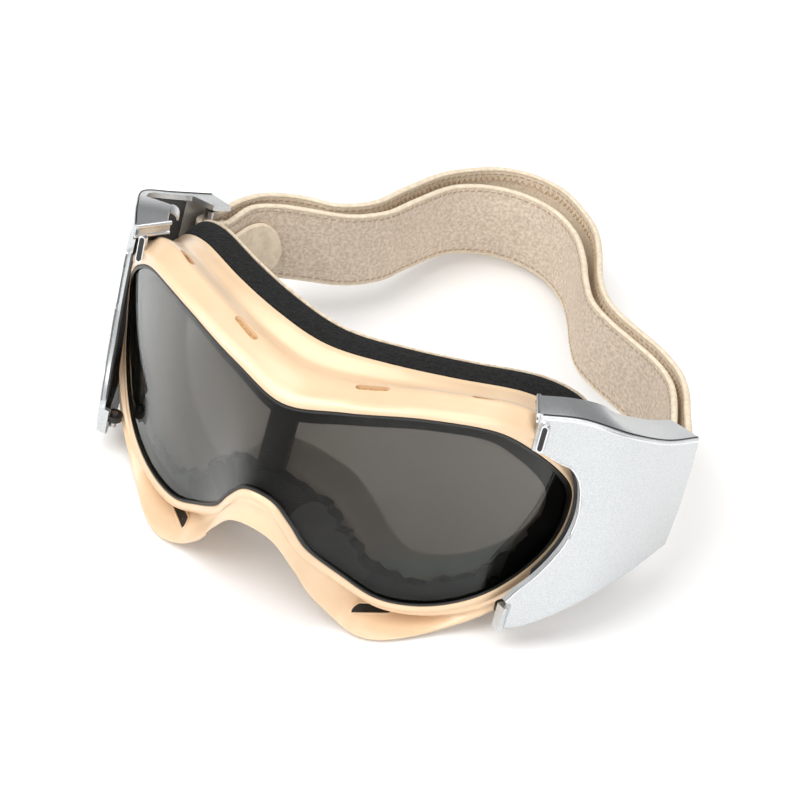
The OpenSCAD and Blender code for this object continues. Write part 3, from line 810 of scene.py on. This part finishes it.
# Rear part of the left top wall: where its cut begins and ends, the width that is left before it, and
# where a wider flange for the strap bar begins
CUT_FROM, CUT_FULL, CUT_TO, CUT_WIDTH = 1.15, 1.55, 4.2, 13.5
FLANGE_FROM, FLANGE_FULL, FLANGE_MORE = 3.35, 3.6, 7.2


def plan_cuts(side, convert):
    """Cutters for the slanting front edge of the top wall and, on the left, its cut-back rear part."""
    f, g = LIP_FRONT, LIP_BACK[side]
    d = unit(g - f)
    ahead = np.array([d[1], -d[0]]) * AHEAD
    cuts = [flat_cut([f - 8 * d, g + 20 * d, g + 20 * d + ahead, f - 8 * d + ahead],
                     .5 * LENS_H, LENS_H, convert)]
    if side == "left":
        near = [arm_point(t, mix(CUT_WIDTH, ARM_WALL + 1, step(CUT_FROM, CUT_FULL, t))
                          + FLANGE_MORE * step(FLANGE_FROM, FLANGE_FULL, t), 0)
                for t in np.linspace(CUT_FROM, CUT_TO, 60)]
        far = [arm_point(t, BEHIND, 0) for t in (CUT_TO, 3.2, 2.2, CUT_FROM)]
        cuts.append(flat_cut(near + far, 0, LENS_H, convert))
    return cuts


def arm_mesh(name, side, t0, t1, a, w, grow, convert):
    """Part of an arm's wall, a millimetres in and w thick, with its cut-outs."""
    secs = [arm_section(mix(t0, t1, i / (ARM_N - 1)), a, w) for i in range(ARM_N)]
    o = loft(name, secs, convert=convert)
    return cut(o, [arm_window(side, grow, convert)] + plan_cuts(side, convert))


def plan_t(y):
    """Place on the arm's plan that lies y millimetres back."""
    return min(np.linspace(0, 3, 301), key=lambda t: abs(along(ARM_PLAN, t)[1] - y))


LIP_DROP = {"left": 4.2, "right": 2.6}
LIP_N, SKIRT_UP = 8, np.array([0, 0, .3])


def arm_lip(side, body, convert):
    """Rolled lip along the top wall's front edge, with a skirt that hangs from it."""
    f, g = LIP_FRONT, LIP_BACK[side]
    lip = [np.array([*mix(f, g, u), mix(ARM_TOP[0], ARM_TOP[1], .6 * u) - .8])
           for u in np.linspace(.06, 1, LIP_N)]
    drop = LIP_DROP[side]
    # Lip roll and its foot in the lighter silver: a painted highlight, the bright double line along the
    # rolled edge.
    dress(tube("lip_roll_" + side, lip, .9, 10, convert=convert), SILVER_AND_HIGHLIGHT, "arm_metal", body)
    skirt = [[p - UP * k + SKIRT_UP for k in (0, drop)]
             + [p - UP * k + np.array([.7, .7, 0]) + SKIRT_UP for k in (drop, 0)] for p in lip]
    dress(loft("lip_skirt_" + side, skirt, convert=convert), SILVER, "arm_metal", body)
    foot = [p - UP * (drop - .1) for p in lip]
    dress(tube("lip_foot_" + side, foot, .6, 8, convert=convert), SILVER_AND_HIGHLIGHT, "arm_metal", body)
    if side == "left":
        shade_line = [p - UP * (drop + .8) + np.array([.4, .4, 0]) for p in lip]
        dress(tube("lip_shade_left", shade_line, .6, 8, convert=convert), BLACK, "gasket", body)


RIB_N, RIB_FIRST, RIB_PITCH, RIB_RISE, RIB_R = 4, -.45, -.42, .12, .17


def window_trim(side, body, convert):
    """Rim of the opening in the lighter silver, a painted highlight on its lit edge, and, on the left, the
    ribs inside it.
    """
    edge = []
    for y, z in window_curve(0):
        t = plan_t(y)
        foot, top = along(ARM_FOOT, t), along(ARM_TOP, t)
        u = (z - foot - FOOT_R) / (top - foot - WALL_ENDS)
        edge.append(arm_point(t, .25 - BOW * sin(pi * u), z))
    # Painted highlight: the rim takes the lighter silver where its edge catches the light.
    dress(tube("window_rim_" + side, edge, .42, 8, convert=convert), SILVER_AND_HIGHLIGHT, "arm_metal", body)
    if side == "left":
        for k in range(RIB_N):
            ribs = [arm_point(plan_t(y), ARM_WALL - .5 + RIB_RISE * k, z)
                    for y, z in window_curve(RIB_FIRST + RIB_PITCH * k)[1:-1]]
            dress(tube("rib_%d" % k, ribs, RIB_R, 6, convert=convert), RIBBED, "gasket", body)


for side in ("left", "right"):
    body, convert = "arm_" + side, from_arm(side)
    wall_grow, lining_grow = WINDOW_GROW[side]
    wing = arm_mesh("wing_" + side, side, 0, 4, 0, ARM_WALL, wall_grow, convert)
    dress(wing, SILVER, "arm_metal", body, "arm_shell_" + side)
    liner = arm_mesh("liner_" + side, side, LINING_FROM, LINING_TO, ARM_WALL + LINING_GAP, LINING_T,
                     lining_grow, convert)
    dress(liner, BLACK, "gasket", body, "arm_lining_" + side)
    arm_lip(side, body, convert)
    window_trim(side, body, convert)

# Plates at the front ends of the arms: place across, then half width, foot, top, front and back
PLATE_X = {"left": -79.0, "right": 81.9}
PLATE, PLATE_GROOVE = (1.35, 37.4, 48.6, 31.6, 33.4), (.85, 38.2, 47.9, 31.3, 32.2)


def plate(name, x0, half_w, low, high, y0, y1):
    """Upright pill-shaped plate at the front end of an arm."""
    pts = []
    for z, r in ((high - half_w, half_w), (low + half_w, -half_w)):
        pts += [np.array([x0 + r * cos(k), 0, z + r * sin(k)]) for k in np.linspace(0, pi, 11)]
    return prism(name, pts, y0, y1, np.array([0, 1.0, 0]))


for side, x0 in PLATE_X.items():
    dress(plate("corner_plate_" + side, x0, *PLATE), SILVER_AND_HIGHLIGHT, "arm_metal", "arm_" + side)
    dress(plate("corner_groove_" + side, x0, *PLATE_GROOVE), BLACK, "gasket", "arm_" + side)

CURL_IN, CURL_R, CURL_T, CURL_TURN = 12.6, 3.4, .8, radians(85)


def curl():
    """Rear corner of the left top wall, rolled inwards and down."""
    secs = []
    for t in np.linspace(.85, 1.28, 10):
        z0, r = along(ARM_TOP, t), CURL_R - CURL_T
        out = [(CURL_IN + CURL_R * sin(a), z0 - CURL_R * (1 - cos(a))) for a in np.linspace(0, CURL_TURN, 8)]
        back = [(CURL_IN + r * sin(a), z0 - CURL_T - r * (1 - cos(a))) for a in np.linspace(CURL_TURN, 0, 8)]
        secs.append([arm_point(t, n, z) for n, z in out + back])
    return loft("top_curl_left", secs, convert=from_arm("left"))


dress(curl(), SILVER, "arm_metal", "arm_left")

# Folded lip at the lower front of each arm, seen from above, and its height
FOLD = ((.6, -3.9), (4.4, -3.9), (4.8, -2.2), (.6, -2.2))
FOLD_H = 10.2
for side in ("left", "right"):
    convert, body = from_arm(side), "arm_" + side
    ts = np.linspace(.05, 3.98, 60)
    # Painted shade: a dark line along the crease of the top edge.
    crease_shade = [arm_point(t, .62, along(ARM_TOP, t) - .02) for t in ts]
    dress(tube("crease_" + side, crease_shade, .3, 8, convert=convert), DARK_METAL, "arm_metal", body)
    # Painted highlight: a bright line just under the crease.
    glint = [arm_point(t, .42 - .2 * step(0, 2.5, t), along(ARM_TOP, t) - 1.5) for t in ts]
    dress(tube("crease_light_" + side, glint, .55, 8, convert=convert), SILVER_AND_HIGHLIGHT, "arm_metal", body)
    foot = along(ARM_FOOT, .2)
    fold = [[np.array([x, y, z]) for x, y in FOLD] for z in np.linspace(foot - .2, foot + FOLD_H, 8)]
    dress(loft("foot_fold_" + side, fold, convert=convert), SILVER, "arm_metal", body)


# Strap: place of the bars on the arms, length of the legs behind them, and the middle lines

BAR_AT, BAR_IN, LEG = 3.65, 7.6, 5.5
LOOP_R = BAR_R + .3 + STRAP_T / 2
LEG_TURN = {"left": radians(14), "right": radians(20)}
BAR = arm_point(BAR_AT, BAR_IN, 0)[:2]
INNER_MID = [(-79, 122), (-72, 132), (-62, 139), (-52, 145), (-45, 152), (-39, 163), (-36, 177),
             (-31, 197), (-24, 208), (-13, 215.5), (0, 217.5), (12, 214), (23, 205), (32, 192),
             (40, 177), (48, 165), (58, 157.5), (70, 151.5), (82, 145.5), (92, 137), (99, 125)]
OUTER_MID = [(-85, 122), (-81, 134), (-74, 142), (-66, 147), (-58, 150), (-51, 157), (-46, 167),
             (-43, 183), (-38, 204), (-31, 218), (-22, 229), (-11, 234.5), (3, 234), (16, 226),
             (27, 215), (35, 201), (43, 184), (51, 172), (60, 164.5), (72, 158.5), (83, 153),
             (94, 144), (101, 133), (106, 121)]
# Height of the strap at its ends, how it falls and leans over towards the back, and where that starts
STRAP_Z, STRAP_FALL, STRAP_FROM, LEAN_FULL = 3, .034, 95, 150


def from_bar(side, x, y):
    """Place near a strap bar, seen from above."""
    w = HINGE + turned(BAR + turned((x, y), LEG_TURN[side]), -radians(SWING[side]))
    return np.array([w[0] if side == "right" else -w[0], w[1]])


def route(mid, r):
    """Middle line of a strap layer from bar to bar."""
    return ([from_bar("left", r, LEG + .3), from_bar("left", r, LEG + 4)]
            + [np.array(p, float) for p in mid]
            + [from_bar("right", r, LEG + 6), from_bar("right", r, LEG + .3)])


INNER, OUTER = route(INNER_MID, -LOOP_R), route(OUTER_MID, LOOP_R)


def strap_frame(q, t):
    """Middle, outward side and upward direction of the strap at t."""
    d = heading(q, t)
    p = along(q, t)
    a = LEAN * step(STRAP_FROM, LEAN_FULL, p[1])
    mid = np.array([p[0], p[1], STRAP_Z - STRAP_FALL * max(0, p[1] - STRAP_FROM)])
    return mid, np.array([-d[1], d[0], 0]), np.array([0, -sin(a), cos(a)])


def flat_section(place, half_w, half_t):
    """Flat section with round edges, in a frame of the strap."""
    c, s, v = place
    pts = [(half_t * cos(radians(x)), half_w - half_t + half_t * sin(radians(x)))
           for x in np.linspace(0, 180, 8)]
    pts += [(-x, -z) for x, z in pts]
    return [c + s * x + v * z for x, z in pts]


def strap_band(name, q, t0, t1, w, thick, n):
    return loft(name, [flat_section(strap_frame(q, mix(t0, t1, i / (n - 1))), w / 2, thick / 2)
                       for i in range(n)])


def half_blend(obj):
    """Bake the placement of a part of the strap into its mesh."""
    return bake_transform(obj)


def strap_part(obj, mat, slot, side, *covers):
    dress(obj, mat, slot, None, *covers)
    half_blend(obj)


def places(q, t0, t1, gap):
    """Values of t that lie an even distance apart along the route."""
    ts = np.linspace(t0, t1, 600)
    pts = [along(q, t) for t in ts]
    run = np.concatenate([[0], np.cumsum([np.linalg.norm(b - a) for a, b in zip(pts, pts[1:])])])
    return [float(np.interp(d, run, ts)) for d in np.arange(gap / 2, run[-1], gap)]


STRAP_N, CORD_R, CORD_OUT = 150, .85, .12
# Stitches: distance in from the cord, spacing and length, and their places and radii end to end
STITCH_IN, STITCH_PITCH, STITCH_L = 1.75, 2.9, 2.0
STITCH = ((-1, .12), (-.7, .32), (.7, .32), (1, .12))
CHAIN_IN, CHAIN_HALF, CHAIN_PITCH, CHAIN_R = 4.2, 1.2, 1.35, .3


def strap_cord(name, q, t0, t1, v):
    """Rolled edge along the strap at height v from its middle."""
    secs = []
    for i in range(STRAP_N):
        c, s, up = strap_frame(q, mix(t0, t1, i / (STRAP_N - 1)))
        secs.append([c + up * (v + CORD_R * sin(a)) + s * (STRAP_T / 2 + CORD_OUT) * cos(a)
                     for a in turns(10)])
    return loft(name, secs)


def strap_stitches(name, q, t0, t1, v, face):
    """Row of short raised stitches, on the inner (-1) or outer (1) face."""
    bm = bmesh.new()
    for t in places(q, t0, t1, STITCH_PITCH):
        c, s, up = strap_frame(q, t)
        d = np.cross(up, s)
        rings = []
        for k, r in STITCH:
            m = c + up * v + s * face * (STRAP_T / 2) + d * k * STITCH_L / 2
            rings.append([bm.verts.new(world(m + up * r * cos(a) + s * face * r * .9 * sin(a)))
                          for a in turns(6)])
        for a, b in zip(rings, rings[1:]):
            for j in range(6):
                bm.faces.new([a[j], a[(j + 1) % 6], b[(j + 1) % 6], b[j]])
        bm.faces.new(rings[0][::-1])
        bm.faces.new(rings[-1])
    return finish_mesh(name, bm)


def strap_zigzag(name, q, t0, t1, v, face):
    """Thread that runs to and fro along the strap."""
    path = []
    for i, t in enumerate(places(q, t0, t1, CHAIN_PITCH)):
        c, s, up = strap_frame(q, t)
        path.append(c + up * (v + (CHAIN_HALF if i % 2 else -CHAIN_HALF)) + s * face * (STRAP_T / 2 + .1))
    return tube(name, path, CHAIN_R, sides=6)


EDGE = STRAP_W / 2 - .75
for name, q, middle, mat in (("inner", INNER, 12, VELOUR), ("outer", OUTER, 13.5, WEBBING)):
    slot = "strap_" + name
    for side, t0, t1 in (("left", 0, middle), ("right", middle, len(q) - 1)):
        covers = [slot] if side == "left" else []
        layer = strap_band("strap_%s_%s" % (name, side), q, t0, t1, STRAP_W - 1, STRAP_T, STRAP_N)
        strap_part(layer, mat, slot, side, *covers)
        label = "%s_%s" % (name, side)
        for k, v in (("top", 1), ("foot", -1)):
            cord = strap_cord("cord_%s_%s" % (k, label), q, t0, t1, v * EDGE)
            strap_part(cord, BINDING, slot, side)
            for face, f in ((-1, "in"), (1, "out")):
                row = strap_stitches("stitches_%s_%s_%s" % (k, f, label), q, t0, t1,
                                     v * (EDGE - STITCH_IN), face)
                strap_part(row, THREAD, slot, side)
        if name == "outer":
            chain = strap_zigzag("chain_" + label, q, t0, t1, EDGE - CHAIN_IN, -1)
            strap_part(chain, CHAIN, slot, side)

# Tab on the inner layer: its stretch of the strap, its half width and how far it sits below the middle
TAB_FROM, TAB_TO, TAB_HALF, TAB_DROP = .2, 3.2, .39 * STRAP_W, .08 * STRAP_W
TAB_N, TAB_ROUND = 40, .6
tab_route = []
for k in range(5):
    t = mix(TAB_FROM, TAB_TO, k / 4)
    d = heading(INNER, t)
    tab_route.append(along(INNER, t) + np.array([d[1], -d[0]]) * (STRAP_T + .3))


def tab_mesh():
    """Short cloth tab with a rounded end."""
    secs = []
    for i in range(TAB_N):
        u = i / (TAB_N - 1)
        h = TAB_HALF * sqrt(max(.02, 1 - max(0, (u - TAB_ROUND) / (1 - TAB_ROUND)) ** 2.4))
        c, s, v = strap_frame(tab_route, 4 * u)
        secs.append(flat_section((c - UP * TAB_DROP, s, v), h, STRAP_T / 2))
    return loft("strap_tab_cloth", secs)


strap_part(tab_mesh(), TAB, "strap_tab", "left", "strap_tab")

# Pieces that keep their solids
KEPT = [("brow_vent_foam", VENT, "vent_foam")]
for side in ("left", "right"):
    KEPT += [("lobe_vent_foam_" + side, FOAM, "face_foam"), ("upper_clip_" + side, DARK_METAL, "arm_metal"),
             ("lower_clip_" + side, DARK_METAL, "arm_metal"), ("hinge_pins_" + side, STEEL, "pin_steel"),
             ("strap_bar_" + side, STEEL, "pin_steel"), ("strap_end_" + side, WEBBING, "strap_outer")]
for name, mat, slot in KEPT:
    o = nodes[name]
    o.data.materials.clear()
    o.data.materials.append(mat)

# Floor
FLOOR_HALF = 3
low = cad_box[0][2]
corners = [(x * FLOOR_HALF, y * FLOOR_HALF, low) for x, y in ((-1, -1), (1, -1), (1, 1), (-1, 1))]
floor_mesh = bpy.data.meshes.new("floor")
floor_mesh.from_pydata(corners, [], [(0, 1, 2, 3)])
floor_obj = link("floor", floor_mesh)
floor_obj.data.materials.append(mottled("floor_white", (.90, .90, .90), (.91, .91, .91), 3, .9))

# Studio: light that fades from the front to the back, seen by the camera as plain white
WHITE = (1, 1, 1, 1)
studio = bpy.data.worlds.new("studio")
scene.world = studio
studio.use_nodes = True
tree = studio.node_tree
tree.nodes.clear()
lit, seen = node(tree, "Background", Color=WHITE), node(tree, "Background", Color=WHITE, Strength=1)
part = node(tree, "SeparateXYZ")
fade = node(tree, "MapRange", From_Min=-.2, From_Max=.5, To_Min=.7, To_Max=.14)
fade.interpolation_type = "SMOOTHSTEP"
mixer, out = node(tree, "MixShader"), node(tree, "OutputWorld")
wire(tree, (node(tree, "TexCoord").outputs["Generated"], part.inputs["Vector"]),
     (part.outputs["Y"], fade.inputs["Value"]), (fade.outputs["Result"], lit.inputs["Strength"]),
     (node(tree, "LightPath").outputs["Is Camera Ray"], mixer.inputs["Fac"]),
     (lit.outputs["Background"], mixer.inputs[1]), (seen.outputs["Background"], mixer.inputs[2]),
     (mixer.outputs["Shader"], out.inputs["Surface"]))


def area(name, place, target, size, power):
    """Round soft light that points at a target."""
    data = bpy.data.lights.new(name, "AREA")
    data.shape, data.size, data.energy = "DISK", size, power
    lamp = link(name, data)
    lamp.location = place
    lamp.rotation_euler = (Vector(target) - Vector(place)).to_track_quat("-Z", "Y").to_euler()


area("key", (-.6, -.7, 1.5), (0, .02, 0), 1.5, 24)
area("fill", (1.4, -.9, .9), (0, .02, 0), 1.6, 12)
area("overhead", (.2, .9, 2.6), (0, .3, 0), 3.0, 40)

# Camera, fitted to the photo in the face frame: place, then turn, height and roll of its view
CAMERA_AT, CAMERA_MM, SENSOR_MM = (319.714, -788.81, 632.748), 137.99, 36
CAMERA_TURN, CAMERA_RISE, CAMERA_ROLL = radians(19.5167), radians(34.5929), radians(14.0730)
cam_data = bpy.data.cameras.new("camera")
cam_data.sensor_width, cam_data.lens = SENSOR_MM, CAMERA_MM
cam_data.clip_start, cam_data.clip_end = .05, 20
cam = link("camera", cam_data)
view = (Matrix.Rotation(-LEAN, 4, "X") @ Matrix.Rotation(CAMERA_TURN, 4, "Z")
        @ Matrix.Rotation(pi / 2 - CAMERA_RISE, 4, "X") @ Matrix.Rotation(CAMERA_ROLL, 4, "Z"))
cam.matrix_world = Matrix.Translation(world(CAMERA_AT)) @ view
scene.camera = cam
scene.view_settings.view_transform = "Standard"
